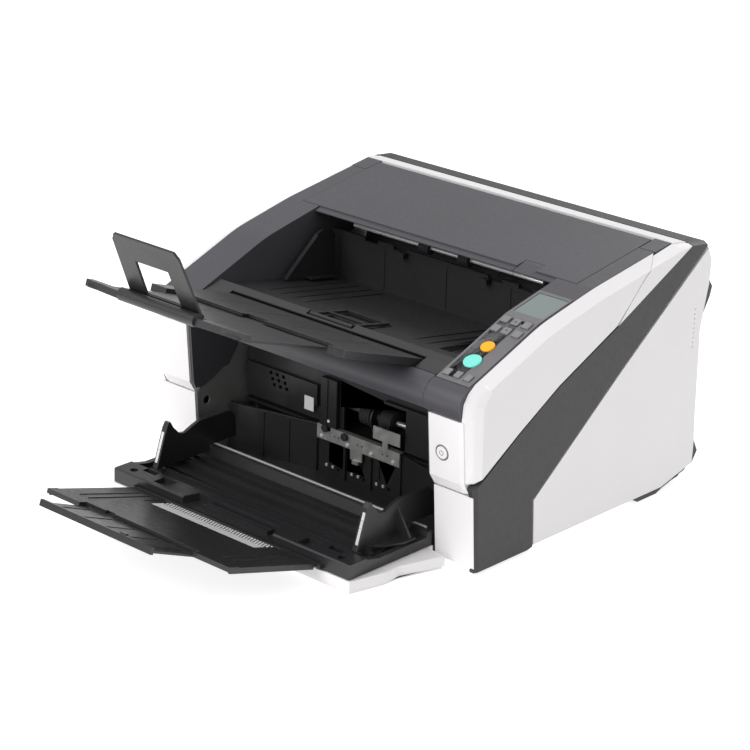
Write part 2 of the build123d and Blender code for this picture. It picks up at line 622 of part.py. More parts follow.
def operator_panel():
    """Grey plate on the right trim, bent between its keys and its screen."""
    s0 = panel_s(-173.4)
    s1 = panel_s(TOP_BEND[0] - 0.1)
    plate = slab(PANEL, PANEL_IN, PANEL_OUT, s0, s1, -2.2, 0.6)
    for x, y, half_x, half_y in KEYS.values():
        plate -= slab(PANEL, x - half_x - 0.4, x + half_x + 0.4, panel_s(y) - half_y - 0.4,
                      panel_s(y) + half_y + 0.4, -4, 2)
    for x, y, radius in ROUND_BUTTONS.values():
        plate -= PANEL * Pos(x, panel_s(y), 0) * Cylinder(radius + 0.4, 8)
    box = slab(PANEL, 162, 200.6, s0 + 0.4, s1 - 1, -11, -2.2)
    box -= slab(PANEL, 162.7, 199.9, s0 + 1.2, s1 - 1.8, -10, -2)
    s2 = screen_s(-76.2)
    s3 = screen_s(-25)
    frame = slab(SCREEN, PANEL_IN, PANEL_OUT, s2, s3, -2.2, 0.6)
    frame -= slab(SCREEN, 163.5, 199.5, screen_s(-68), screen_s(-29), -1.4, 2)
    return plate + box + frame


def key(x, y, half_x, half_y):
    s = panel_s(y)
    cap = slab(PANEL, x - half_x, x + half_x, s - half_y, s + half_y, -5, 2.2)
    return fillet(cap.edges().filter_by(Axis((0, 0, 0), PANEL.z_dir)), 1.2)


def round_button(x, y, radius):
    cap = PANEL * Pos(x, panel_s(y), -1.2) * Cylinder(radius, 7.6)
    return chamfer(cap.edges().sort_by(Axis.Z)[-1], 0.7)


def panel_screen():
    """Display window in the rear part of the operator panel."""
    return slab(SCREEN, 163.8, 199.2, screen_s(-67.7), screen_s(-29.3), -1.4, 0.1)


# place of the power key, its axis square to the leaning pillar face
POWER_LEAN = degrees(atan2(5, 57))
POWER_PLACE = Pos(179, -182.3, 119.5) * Rot(90 + POWER_LEAN, 0, 0)


def power_button():
    """Round power key on the right pillar."""
    cap = POWER_PLACE * Pos(0, 0, -1.5) * Cylinder(6.4, 5)
    return chamfer(cap.edges().sort_by(Axis.Y)[0], 0.5)


def pillar_hole():
    """Opening in the right pillar that the power key moves in."""
    return POWER_PLACE * Cylinder(6.7, 14)


def upper_scan_unit():
    """Upper image reader between the stacker floor and the paper path."""
    housing = rounded_block(-157, 157, -60, 36, 112, 152, 4, Axis.X)
    housing -= block(-152, 152, -24, 0, 111, 113)
    riser = prism_x([(36, 125), (60, 140), (84, 175), (90, 215), (84, 220), (70, 190), (52, 158), (36, 150)],
                    -157, 157)
    return housing + riser


def pick_cover():
    """Inner face of the upper unit over the pick roller, with a vented plate."""
    face = block(-159, 159, WALL_Y, WALL_Y + 3, 61, 150)
    face -= block(-22, 61, WALL_Y - 1, WALL_Y + 4, 60, 104)
    face += block(-49, -27, WALL_Y - 6, WALL_Y, 60.5, 112)
    face += block(-40.5, -38.9, WALL_Y - 7.2, WALL_Y - 5.8, 61, 111)
    face += block(-156, -56, WALL_Y - 4, WALL_Y, 77, 100)
    for row in range(3):
        for col in range(3):
            x = -122 + 9 * col + 2.5 * row
            face -= block(x - 2, x + 2, WALL_Y - 6, WALL_Y + 5, 93.5 - 6 * row, 97 - 6 * row)
    face += block(36, 92, WALL_Y - 5, WALL_Y, 106.5, 109.5)
    overhead = [(-166, 152.6), (-166, 155), (-62, 155), (-62, 148), (-98, 148), (-98, 152.6)]
    return face + prism_x(overhead, -159, 159)


def pick_roller():
    """Pick shaft with its rubber rollers and the end disc."""
    shaft = rod_x(-80, 78, 3, -50, 58)
    for x0, x1, radius in ((-10, 5, 12.5), (17, 34, 12.5), (8, 11, 15.5), (6.5, 12.5, 6)):
        shaft += rod_x(-80, 78, radius, x0, x1)
    return shaft


def exit_roller():
    """Exit shaft with its two rubber rollers."""
    y, z = EXIT_SHAFT
    shaft = rod_x(y, z, 2.4, -127.5, 127.5)
    for x in (-26.5, 26.5):
        shaft += rod_x(y, z, 7.5, x - 7, x + 7)
    return shaft


def release_latch():
    """Finger slide set flush in the right half of the lid's front lip."""
    return lid_lip(LATCH[0], LATCH[1], LATCH_BACK)


# ================================================================ stacker parts
def stacker_extension_1():
    """First stacker extension: a plate with a deep tab at each front corner."""
    half = 128.3
    plan = [(-half, 8), (half, 8), (half, -118), (107.5, -118), (106.8, -104), (53, -107), (-53, -107),
            (-106.8, -104), (-107.5, -118), (-half, -118)]
    plate = sheet(EXT, plan, -EXT_THICK, 0)
    for sign in (-1, 1):
        rail = [(sign * half, -6), (sign * half, -118), (sign * 107.5, -118), (sign * 107.5, -110),
                (sign * 123, -96), (sign * 124.5, -6)]
        plate += sheet(EXT, rail, -7.6, -EXT_THICK)
        for x in (30, 75):
            plate -= slab(EXT, sign * x - 1, sign * x + 1, -85, -20, -0.8, 1)
    plate -= slab(EXT, -14, 14, -112, -98, -5, 1)
    return plate


def stacker_extension_2():
    """Second stacker extension with the front roll that carries the stopper."""
    top = -EXT_THICK - 0.5
    plan = [(-99, -92), (99, -92), (104.5, -226), (98, -231), (-98, -231), (-104.5, -226)]
    plate = sheet(EXT, plan, top - 2.6, top)
    lip = [(-104.5, -219), (104.5, -219), (104.5, -228), (50, -236), (-50, -236), (-104.5, -228)]
    plate += sheet(EXT, lip, top - 2.6, 0.5)
    roll = EXT * Pos(0, -234, -1.2) * Rot(0, 90, 0) * Cylinder(6.3, 100)
    plate += roll
    for x in (-30, 30):
        plate += slab(EXT, x - 1, x + 1, -212, -112, top, top + 0.2)
    window = slab(EXT, -48.5, 48.5, -229, -219.5, -3.0, 6)
    return plate - window


STOP_HINGE_S = -224.5
STOP_HINGE_H = 1.9
STOP_LEAN = 23.6
STOP_HEIGHT = 71.0


def stopper_pivot():
    """Row of the stopper's hinge in the body frame, as (y, z)."""
    point = EXT.from_local_coords(Vector(0, STOP_HINGE_S, STOP_HINGE_H))
    return point.Y, point.Z


def stacker_stopper():
    """Flip-up frame that stops the sheets, leaning forward."""
    y, z = stopper_pivot()
    stand = Plane(origin=(0, y, z), x_dir=(1, 0, 0),
                  z_dir=(0, -cos(radians(STOP_LEAN)), -sin(radians(STOP_LEAN))))
    outline = [(-46.3, 0), (46.3, 0), (43.4, STOP_HEIGHT - 7), (39, STOP_HEIGHT), (-39, STOP_HEIGHT),
               (-43.4, STOP_HEIGHT - 7)]
    window = [(-23, 6), (23, 6), (21.5, 44.5), (-21.5, 44.5)]
    frame = stand * Pos(0, 0, -1.3) * extrude(Polygon(*outline, align=None), amount=2.6, dir=(0, 0, 1))
    frame -= stand * Pos(0, 0, -3) * extrude(Polygon(*window, align=None), amount=6, dir=(0, 0, 1))
    return frame + rod_x(y, z, 2.6, -46.3, 46.3)


def stack_guide():
    """Folding side guide inside the stacker, right side."""
    outline = [(-60, 180.2), (-14, 219), (-4, 222.5), (6, 221), (14, 214), (16, 168.4), (12, 168.4)]
    guide = prism_x(outline, 147, 149.5)
    guide += prism_x([(-60, 180.2), (-14, 219), (-12, 217), (-56, 180)], 144.8, 149.5)
    foot = [(-30, 175.2), (-30, 177), (10, 170.6), (10, 168.8)]
    return guide + prism_x(foot, 137, 148)


ARM_PIVOT = (-145.6, 194.4)


def stack_arm():
    """Light frame that lifts from the stacker floor to support short sheets."""
    y0, z0 = ARM_PIVOT
    y1, z1 = -92.0, 184.6
    beam = [(y0, z0 - 1.4), (y0, z0 + 1.4), (y1, z1 + 1.4), (y1, z1 - 1.4)]
    arm = prism_x(beam, -28, -24) + prism_x(beam, 24, 28)
    arm += prism_x([(y1 - 5, z1 - 0.4), (y1 - 5, z1 + 2.2), (y1, z1 + 1.4), (y1, z1 - 1.4)], -28, 28)
    arm += prism_x([(-124, 189.4), (-124, 191.6), (-119, 190.8), (-119, 188.6)], -26, 26)
    return arm + rod_x(y0, z0, 2.4, -28, 28)


# ================================================================ hopper
def hopper_table():
    """Rising table: front rim, sunken floor with cross slats, finger notch."""
    section = [
        (TABLE_FRONT, TABLE_BOTTOM), (TABLE_FRONT, TABLE_RIM_Z - 1.5), (TABLE_FRONT + 1.5, TABLE_RIM_Z),
        (-262, TABLE_RIM_Z), (-258, TABLE_FLOOR_Z), (TABLE_BACK - 12, TABLE_FLOOR_Z),
        (TABLE_BACK - 8, 30.2), (TABLE_BACK - 2.5, 30.2), (TABLE_BACK - 2.5, TABLE_BOTTOM),
    ]
    table = prism_x(section, -TABLE_HALF, TABLE_HALF)
    for x0, x1 in ((-TABLE_HALF, -154), (154, TABLE_HALF)):
        table += prism_x([(-268, TABLE_BOTTOM), (-268, TABLE_RIM_Z), (-244, 25), (TABLE_BACK - 10, 25),
                          (TABLE_BACK - 10, TABLE_BOTTOM)], x0, x1)
    for y, height in ((-240, 24.5), (-226, 23), (-206, 24.5), (-190, 23)):
        table += block(-148, 148, y - 2.2, y + 2.2, TABLE_FLOOR_Z - 1, height)
    table -= prism_z([(-62, -287), (62, -287), (56, -268), (-56, -268)], 22, 40)
    table += block(-40, 48, -279, -271, 21, 26)
    for sign in (-1, 1):
        table -= rod_z(sign * 142, -275.5, 4.2, 24, 40)
        table -= block(sign * 99 - 9, sign * 99 + 9, -281, -266, 25, 40)
        table -= block(sign * 127 - 9, sign * 127 + 9, -270, -262.5, 23, 40)
        table -= block(sign * 95 - 12, sign * 95 + 12, -246, -184, 14, TABLE_FLOOR_Z - 3.0)
    table -= block(-150, 150, -276, TABLE_BACK - 14, TABLE_BOTTOM - 1, TABLE_FLOOR_Z - 3.0)
    y, z = CHUTE_START
    for sign in (-1, 1):
        table += block(sign * 126.2 - 2, sign * 126.2 + 2, y - 2.4, TABLE_FRONT + 1, z - 2.6, z + 2.6)
        table += rod_x(y, z, HINGE_LUG_R, sign * 120.5 - 4.5, sign * 120.5 + 4.5)
    return table


def paper_edge():
    """Bright steel edge strip along the back of the table."""
    return block(-152, 152, TABLE_BACK - 2.4, TABLE_BACK, TABLE_BOTTOM + 2, 31.2)


def hopper_guide():
    """Side guide of the hopper, right side, with its foot and gusset."""
    post = [(-253, 26), (-251.4, 30), (-239.6, 67), (-236.6, 72.2), (-233.6, 72.2)]
    profile = post + [
        (-229.6, 65.3), (-221, 56.8), (-213, 55.4), (-202, 60), (-193, 63), (-150, 62.5), (-143, 56),
        (-141, 34), (-141, 32.2), (-178, 32.2), (-180, 26),
    ]
    plate = prism_x(profile, GUIDE_IN, GUIDE_IN + 4)
    lip = post + [(-241, 50), (-246.5, 30), (-247, 26)]
    plate += prism_x(lip, GUIDE_IN - 0.5, GUIDE_IN + 6)
    foot = prism_z([(GUIDE_IN + 3, -240), (150, -224), (157.5, -206), (157.5, -190), (GUIDE_IN + 3, -190)],
                   26, 28.2)
    gusset = prism_y([(GUIDE_IN + 3, 27), (156, 27), (GUIDE_IN + 3, 58)], -196, -193.5)
    return plate + foot + gusset


def hopper_extension_1():
    """First hopper extension: wide hinged plate with flanged sides and a notched front edge."""
    half = 123.5
    plan = [(-half, 0), (half, 0), (half, -121), (77.6, -121), (76.8, -112), (-76.8, -112), (-77.6, -121),
            (-half, -121)]
    plate = sheet(CHUTE, plan, -1.0, 1.7)
    plate += slab(CHUTE, -76.8, 76.8, -112, -108, -1.0, 2.4)
    for sign in (-1, 1):
        tab = [(sign * 76.8, -112), (sign * 77.6, -121), (sign * half, -121), (sign * half, -108),
               (sign * 76.8, -108)]
        plate += sheet(CHUTE, tab, -2.4, 2.4)
        plate += slab(CHUTE, sign * 122 - 1.5, sign * 122 + 1.5, -118, -5, -4.2, 1.7)
    y, z = CHUTE_START
    plate += rod_x(y, z, 2.4, -half, half)
    plate -= rod_x(y, z, HINGE_LUG_R + HINGE_FIT, -125, -115.6)
    plate -= rod_x(y, z, HINGE_LUG_R + HINGE_FIT, 115.6, 125)
    for x in (-104, -92, 92, 104):
        plate += slab(CHUTE, x - 0.8, x + 0.8, -96, -14, 1.6, 2.3)
    plate -= slab(CHUTE, -50, -39, -113, -107.5, -3, 4)
    return plate - slab(CHUTE, -80, 80, -33, -4, 1.2, 3)


CLIP_X = 33.0            # small stop on the front hem of the second extension


def hopper_extension_2():
    """Second hopper extension that slides out under the first on its own steeper line."""
    half = 75.4
    plate = slab(TONGUE, -half, half, -74, 42, -2.4, 0)
    plate += slab(TONGUE, -half, half, -74.4, -70.6, -4.0, 2.7)
    for x in (-62, -31, 0, 31, 62):
        plate += slab(TONGUE, x - 0.8, x + 0.8, -66, -22, -0.1, 0.5)
    clip = sheet(TONGUE, [(CLIP_X - 4, -70.7), (CLIP_X + 4, -70.7), (CLIP_X + 1, -64)], -0.1, 3.4)
    return plate + clip


# ================================================================ files
save("base_pan", base_pan())
save("rubber_feet", *rubber_feet())
save("left_side_band", left_side_band())
save("right_side_band", side_band())
save("rear_top_bar", rear_top_bar())
save("rear_collar", rear_collar())
save_pair("rear_panel", rear_panel())
save("rear_cover", rear_cover())
save("left_lower_pillar", left_lower_pillar())
save("right_lower_pillar", right_lower_pillar())
save("hopper_base", hopper_base())
save_pair("side_frame", side_frame())
save("bay_wall", bay_wall())
save("guide_bracket", guide_bracket())
save("hinge_covers", *hinge_covers())
save("lower_scan_unit", lower_scan_unit())
save("power_supply", power_supply())
save("main_board", main_board())
save("power_inlet", power_inlet())
save("feed_motor", feed_motor())

pillar = upper_panel()
save("left_upper_panel", mirror(pillar, about=Plane.YZ))
save("right_upper_panel", pillar - pillar_hole())
save("left_trim", left_trim())
save("right_trim", right_trim())
save("front_bar", front_bar())
save("top_cover", top_cover())
save("stacker_tray", stacker_tray())
save("operator_panel", operator_panel())
save("panel_screen", panel_screen())
for name, place in KEYS.items():
    save(name, key(*place))
for name, place in ROUND_BUTTONS.items():
    save(name, round_button(*place))
save("power_button", power_button())
save("upper_scan_unit", upper_scan_unit())
save("pick_cover", pick_cover())
save("pick_roller", pick_roller())
save("exit_roller", exit_roller())
save("release_latch", release_latch())
save("stacker_extension_1", stacker_extension_1())
save("stacker_extension_2", stacker_extension_2())
save("stacker_stopper", stacker_stopper())
save_pair("stack_guide", stack_guide())
save("stack_arm", stack_arm())

save("hopper_table", hopper_table())
save("paper_edge", paper_edge())
save_pair("hopper_guide", hopper_guide())
save("hopper_extension_1", hopper_extension_1())
save("hopper_extension_2", hopper_extension_2())
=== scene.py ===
import json
from math import cos, pi, radians, sin

import bmesh
import bpy
from mathutils import Matrix, Vector


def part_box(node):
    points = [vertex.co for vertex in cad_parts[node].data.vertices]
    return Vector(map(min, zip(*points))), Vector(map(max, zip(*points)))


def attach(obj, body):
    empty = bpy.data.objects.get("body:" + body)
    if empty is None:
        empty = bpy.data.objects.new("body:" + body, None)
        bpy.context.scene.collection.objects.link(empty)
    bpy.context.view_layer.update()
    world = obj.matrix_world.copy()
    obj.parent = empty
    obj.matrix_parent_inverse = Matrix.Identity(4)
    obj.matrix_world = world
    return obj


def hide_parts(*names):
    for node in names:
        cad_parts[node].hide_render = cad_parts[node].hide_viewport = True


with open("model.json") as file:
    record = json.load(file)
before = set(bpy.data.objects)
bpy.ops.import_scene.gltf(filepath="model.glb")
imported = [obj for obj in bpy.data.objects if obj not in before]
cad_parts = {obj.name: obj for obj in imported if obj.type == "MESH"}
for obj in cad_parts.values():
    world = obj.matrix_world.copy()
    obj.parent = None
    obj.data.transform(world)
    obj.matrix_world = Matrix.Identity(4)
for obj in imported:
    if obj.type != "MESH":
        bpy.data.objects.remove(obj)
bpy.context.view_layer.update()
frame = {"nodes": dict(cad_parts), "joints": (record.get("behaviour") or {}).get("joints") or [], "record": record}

NODES = frame["nodes"]
JOINTS = {joint["name"]: joint for joint in frame["joints"]}
HINGE_BEHIND_MIDDLE = 0.118
# y of the middle of the body, which the layout below is measured from
BODY_Y = JOINTS["upper_unit_hinge"]["pos_m"][1] - HINGE_BEHIND_MIDDLE
X = (1, 0, 0)
FORWARDS = (0, -1, 0)


def at(x, y, z):
    """A point given in millimetres from the middle of the body."""
    return Vector((x / 1000, y / 1000 + BODY_Y, z / 1000))


# ---------------------------------------------------------------- camera
CAMERA_AZIMUTH, CAMERA_ELEVATION, CAMERA_ROLL = radians(41.85), radians(20.71), radians(1.94)
CAMERA_PLACE = at(1616.15, -1884.05, 1036.2)
SENSOR_WIDTH = 36
# focal length as a multiple of the width of the picture
FOCAL_RATIO = 2584.0 / 750


def make_camera():
    back = Vector((sin(CAMERA_AZIMUTH) * cos(CAMERA_ELEVATION), -cos(CAMERA_AZIMUTH) * cos(CAMERA_ELEVATION),
                   sin(CAMERA_ELEVATION)))
    right = (-back).cross(Vector((0, 0, 1))).normalized()
    up = right.cross(-back)
    x_axis = right * cos(CAMERA_ROLL) + up * sin(CAMERA_ROLL)
    y_axis = up * cos(CAMERA_ROLL) - right * sin(CAMERA_ROLL)
    data = bpy.data.cameras.new("camera")
    data.lens = SENSOR_WIDTH * FOCAL_RATIO
    data.sensor_width = SENSOR_WIDTH
    data.clip_end = 50
    camera = bpy.data.objects.new("camera", data)
    bpy.context.scene.collection.objects.link(camera)
    place = Matrix((x_axis, y_axis, back)).transposed().to_4x4()
    place.translation = CAMERA_PLACE
    camera.matrix_world = place
    bpy.context.scene.camera = camera


make_camera()


# ---------------------------------------------------------------- materials
class Nodes:
    """Short names for building a node tree."""

    def __init__(self, tree):
        self.tree = tree
        self.tree.nodes.clear()

    def add(self, kind, inputs=None, **settings):
        node = self.tree.nodes.new(kind)
        for key, value in settings.items():
            setattr(node, key, value)
        for key, value in (inputs or {}).items():
            if isinstance(value, bpy.types.NodeSocket):
                self.tree.links.new(value, node.inputs[key])
            else:
                node.inputs[key].default_value = value
        return node


PLASTIC_IOR = 1.46


def material(name, colour, rough, metallic=0.0, grain=1800, grain_bump=0.12, mottle=0.05, rough_spread=0.1,
             wear_and_highlight=0.08, coat=0.0, stretch=(1, 1, 1)):
    """Moulded plastic or metal: fine grain in the bump, patchy colour and roughness, and lighter edges that are
    partly rubbed wear and partly painted highlight.
    """
    result = bpy.data.materials.new(name)
    result.use_nodes = True
    n = Nodes(result.node_tree)
    place = n.add("ShaderNodeTexCoord").outputs["Object"]
    mapped = n.add("ShaderNodeMapping", {"Vector": place, "Scale": stretch}).outputs["Vector"]
    fine = n.add("ShaderNodeTexNoise", {"Vector": mapped, "Scale": grain, "Detail": 3.0, "Roughness": 0.6})
    patch = n.add("ShaderNodeTexNoise", {"Vector": place, "Scale": 14.0, "Detail": 5.0, "Roughness": 0.65})
    speck = n.add("ShaderNodeTexNoise", {"Vector": mapped, "Scale": grain / 7, "Detail": 2.0})
    shade = n.add("ShaderNodeMapRange", {"Value": patch.outputs["Fac"], "From Min": 0.3, "From Max": 0.7,
                                         "To Min": 1 - mottle, "To Max": 1 + mottle})
    base = n.add("ShaderNodeHueSaturation", {"Color": (*colour, 1), "Value": shade.outputs["Result"]})
    rounded = n.add("ShaderNodeBevel", {"Radius": 0.0007}, samples=4)
    facing = n.add("ShaderNodeNewGeometry").outputs["Normal"]
    same = n.add("ShaderNodeVectorMath", {0: rounded.outputs["Normal"], 1: facing},
                 operation="DOT_PRODUCT")
    # edges where the rounded normal parts from the true normal get a lighter colour: partly rubbed wear, partly a
    # painted highlight
    edge = n.add("ShaderNodeMapRange", {"Value": same.outputs["Value"], "From Min": 0.995, "From Max": 0.9,
                                        "To Min": 0.0, "To Max": 1.0})
    worn_and_highlit = n.add("ShaderNodeMath", {0: edge.outputs["Result"], 1: speck.outputs["Fac"]}, operation="MULTIPLY")
    amount = n.add("ShaderNodeMath", {0: worn_and_highlit.outputs["Value"], 1: wear_and_highlight}, operation="MULTIPLY")
    # the lighter edge colour, partly rubbed wear and partly painted highlight
    light = tuple(min(1.0, c * 1.4 + 0.05) for c in colour)
    mix = n.add("ShaderNodeMix", {"Factor": amount.outputs["Value"], "A": base.outputs["Color"],
                                  "B": (*light, 1)}, data_type="RGBA")
    roughness = n.add("ShaderNodeMapRange", {
        "Value": speck.outputs["Fac"], "From Min": 0.3, "From Max": 0.7,
        "To Min": rough - rough_spread / 2, "To Max": rough + rough_spread / 2})
    bump = n.add("ShaderNodeBump", {"Strength": grain_bump, "Distance": 0.0002,
                                    "Height": fine.outputs["Fac"]})
    shader = n.add("ShaderNodeBsdfPrincipled", {
        "Base Color": mix.outputs["Result"], "Roughness": roughness.outputs["Result"],
        "Normal": bump.outputs["Normal"], "Metallic": metallic, "IOR": PLASTIC_IOR, "Coat Weight": coat,
        "Coat Roughness": 0.15})
    n.add("ShaderNodeOutputMaterial", {"Surface": shader.outputs["BSDF"]})
    result.diffuse_color = (*colour, 1)
    return result


FINISHES = {
    "white_plastic": dict(colour=(0.715, 0.70, 0.71), rough=0.48, grain=1500, grain_bump=0.06,
                          mottle=0.012, wear_and_highlight=0.05),
    "charcoal_plastic": dict(colour=(0.058, 0.0555, 0.064), rough=0.42, grain=1700, grain_bump=0.18),
    "dark_plastic": dict(colour=(0.027, 0.0255, 0.0265), rough=0.46, grain=1700, grain_bump=0.18),
    "inner_black": dict(colour=(0.018, 0.0175, 0.0185), rough=0.36, grain=1400, mottle=0.12),
    "tray_black": dict(colour=(0.021, 0.0203, 0.022), rough=0.34, grain=1500, mottle=0.10),
    "panel_grey": dict(colour=(0.135, 0.132, 0.14), rough=0.42, grain=1700, grain_bump=0.1, mottle=0.03),
    "key_plastic": dict(colour=(0.19, 0.19, 0.195), rough=0.34, grain=1500, grain_bump=0.05,
                        mottle=0.03),
    "orange_plastic": dict(colour=(1.0, 0.40, 0.0), rough=0.4, grain=1500, grain_bump=0.05,
                           mottle=0.03, coat=0.05),
    "green_plastic": dict(colour=(0.165, 0.70, 0.60), rough=0.3, grain=1500, grain_bump=0.05,
                          mottle=0.03, coat=0.3),
    "zinc_steel": dict(colour=(0.50, 0.50, 0.49), rough=0.42, metallic=0.75, grain=900, grain_bump=0.08,
                       mottle=0.10, rough_spread=0.2, stretch=(1, 8, 1)),
    "edge_steel": dict(colour=(0.82, 0.82, 0.82), rough=0.3, metallic=0.5, grain=1200, grain_bump=0.06,
                       stretch=(0.05, 1, 1)),
    "scan_housing": dict(colour=(0.009, 0.009, 0.009), rough=0.45, grain=1200, grain_bump=0.2),
    "supply_metal": dict(colour=(0.5, 0.5, 0.5), rough=0.4, metallic=1.0, grain=900, grain_bump=0.1),
    "board_green": dict(colour=(0.02, 0.12, 0.05), rough=0.35, grain=700, grain_bump=0.1, mottle=0.1),
    "motor_metal": dict(colour=(0.05, 0.05, 0.055), rough=0.35, metallic=0.6, grain=900,
                        grain_bump=0.1),
    "rubber": dict(colour=(0.02, 0.02, 0.02), rough=0.75, grain=1100, grain_bump=0.3, mottle=0.1),
    "roller_rubber": dict(colour=(0.022, 0.022, 0.023), rough=0.7, grain=1100, grain_bump=0.3,
                          mottle=0.1),
    "inlet_black": dict(colour=(0.012, 0.012, 0.012), rough=0.4, grain=1400, grain_bump=0.15),
    "display": dict(colour=(0.145, 0.185, 0.178), rough=0.16, grain=2500, grain_bump=0.01, mottle=0.03,
                    wear_and_highlight=0.0, coat=0.6),
}
MATERIALS = {slot: material(slot, **finish) for slot, finish in FINISHES.items()}


# ---------------------------------------------------------------- carried-over parts
# widths of the rounded edges, in metres
EDGES = {"white_plastic": 0.0006, "charcoal_plastic": 0.0005, "dark_plastic": 0.0005,
         "zinc_steel": 0.0002, "edge_steel": 0.0003, "display": 0.0002}
OTHER_EDGE = 0.0004
SHARP_CAD, SHARP_ADDED = radians(30), radians(35)


def round_edges(obj, width, sharp):
    edge = obj.modifiers.new("edge", "BEVEL")
    edge.width = width
    edge.segments = 2
    edge.limit_method = "ANGLE"
    edge.angle_limit = sharp
    edge.harden_normals = True
    return edge


def soften(obj, width):
    """Joins flat triangles, rounds the sharp edges and shades the rest smooth."""
    obj.modifiers.new("weld", "WELD").merge_threshold = 0.00001
    flat = obj.modifiers.new("flat", "DECIMATE")
    flat.decimate_type = "DISSOLVE"
    flat.angle_limit = radians(0.4)
    round_edges(obj, width, SHARP_CAD).miter_outer = "MITER_ARC"
    smooth = obj.modifiers.new("smooth", "WEIGHTED_NORMAL")
    smooth.weight = 60
    smooth.keep_sharp = True


def dress():
    slots = {part["node"]: part["material_slot"] for part in frame["record"]["subparts"]}
    for name, obj in NODES.items():
        slot = slots[name]
        obj.data.materials.clear()
        obj.data.materials.append(MATERIALS[slot])
        soften(obj, EDGES.get(slot, OTHER_EDGE))


dress()


# ---------------------------------------------------------------- added pieces
def piece(name, mesh_data, slot, body, edge_width=0.0002):
    """A finished mesh piece with its material, softened edges and the body that it rides on."""
    mesh = bpy.data.meshes.new(name)
    bmesh.ops.recalc_face_normals(mesh_data, faces=mesh_data.faces)
    mesh_data.to_mesh(mesh)
    mesh_data.free()
    obj = bpy.data.objects.new(name, mesh)
    bpy.context.scene.collection.objects.link(obj)
    mesh.materials.append(MATERIALS[slot])
    for face in mesh.polygons:
        face.use_smooth = True
    round_edges(obj, edge_width, SHARP_ADDED)
    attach(obj, body)
    return obj


def frame_of(origin, x_axis, z_axis):
    """The matrix that puts a piece's own origin, x and z where they are given."""
    x_axis = Vector(x_axis).normalized()
    z_axis = Vector(z_axis).normalized()
    matrix = Matrix((x_axis, z_axis.cross(x_axis), z_axis)).transposed().to_4x4()
    matrix.translation = origin
    return matrix


def lathe(mesh, profile, matrix, turns=48):
    """Turns a closed (radius, height) profile in millimetres about the z axis of matrix."""
    rings = []
    for step in range(turns):
        angle = 2 * pi * step / turns
        turned = [Vector((r * cos(angle), r * sin(angle), h)) for r, h in profile]
        rings.append([mesh.verts.new(matrix @ (point / 1000)) for point in turned])
    for ring, after in zip(rings, rings[1:] + rings[:1]):
        for i in range(len(profile)):
            j = (i + 1) % len(profile)
            mesh.faces.new((ring[i], after[i], after[j], ring[j]))


def plate(mesh, outline, low, high, matrix):
    """A flat plate from an outline of (x, y) in millimetres between two heights."""
    bottom = [mesh.verts.new(matrix @ Vector((x / 1000, y / 1000, low / 1000))) for x, y in outline]
    top = [mesh.verts.new(matrix @ Vector((x / 1000, y / 1000, high / 1000))) for x, y in outline]
    mesh.faces.new(bottom[::-1])
    mesh.faces.new(top)
    for i in range(len(outline)):
        j = (i + 1) % len(outline)
        mesh.faces.new((bottom[i], bottom[j], top[j], top[i]))


def box_outline(x0, x1, y0, y1):
    return [(x0, y0), (x1, y0), (x1, y1), (x0, y1)]


def arc(radius, start, end, steps):
    """Points on an arc about the origin, from one angle to another in degrees."""
    angles = [radians(start + (end - start) * i / steps) for i in range(steps + 1)]
    return [(radius * cos(angle), radius * sin(angle)) for angle in angles]


# local x and z of a shaft that lies across the body
ACROSS = ((0, 1, 0), (1, 0, 0))
EXIT_AXLE = at(0, 23, 226.8)
PICK_AXLE = at(0, -80, 78)
# a solid turned shape starts a hair off its axis, so that its rings keep separate points
CENTRE = 0.01


def exit_rollers():
    """Bright exit shaft with two clip grooves, and two grooved rubber tyres."""
    place = frame_of(EXIT_AXLE, *ACROSS)
    mesh = bmesh.new()
    lathe(mesh, [(CENTRE, -127.4), (2.0, -127.4), (2.35, -126.9), (2.35, -90), (1.9, -89.6),
                 (1.9, -88.4), (2.35, -88), (2.35, 88), (1.9, 88.4), (1.9, 89.6), (2.35, 90),
                 (2.35, 126.9), (2.0, 127.4), (CENTRE, 127.4)], place, 32)
    shaft = piece("exit_shaft", mesh, "edge_steel", "exit_roller_body")
    mesh = bmesh.new()
    for x in (-26.5, 26.5):
        profile = [(2.4, x - 6.8), (5.2, x - 6.8), (5.6, x - 6.4), (7.1, x - 6.4), (7.4, x - 6)]
        for groove in (-3, 0, 3):
            profile += [(7.4, x + groove - 0.5), (6.9, x + groove - 0.3), (6.9, x + groove + 0.3),
                        (7.4, x + groove + 0.5)]
        profile += [(7.4, x + 6), (7.1, x + 6.4), (5.6, x + 6.4), (5.2, x + 6.8), (2.4, x + 6.8)]
        lathe(mesh, profile, place)
    tyres = piece("exit_tyres", mesh, "roller_rubber", "exit_roller_body")
    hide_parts("exit_roller")
    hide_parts("exit_roller")


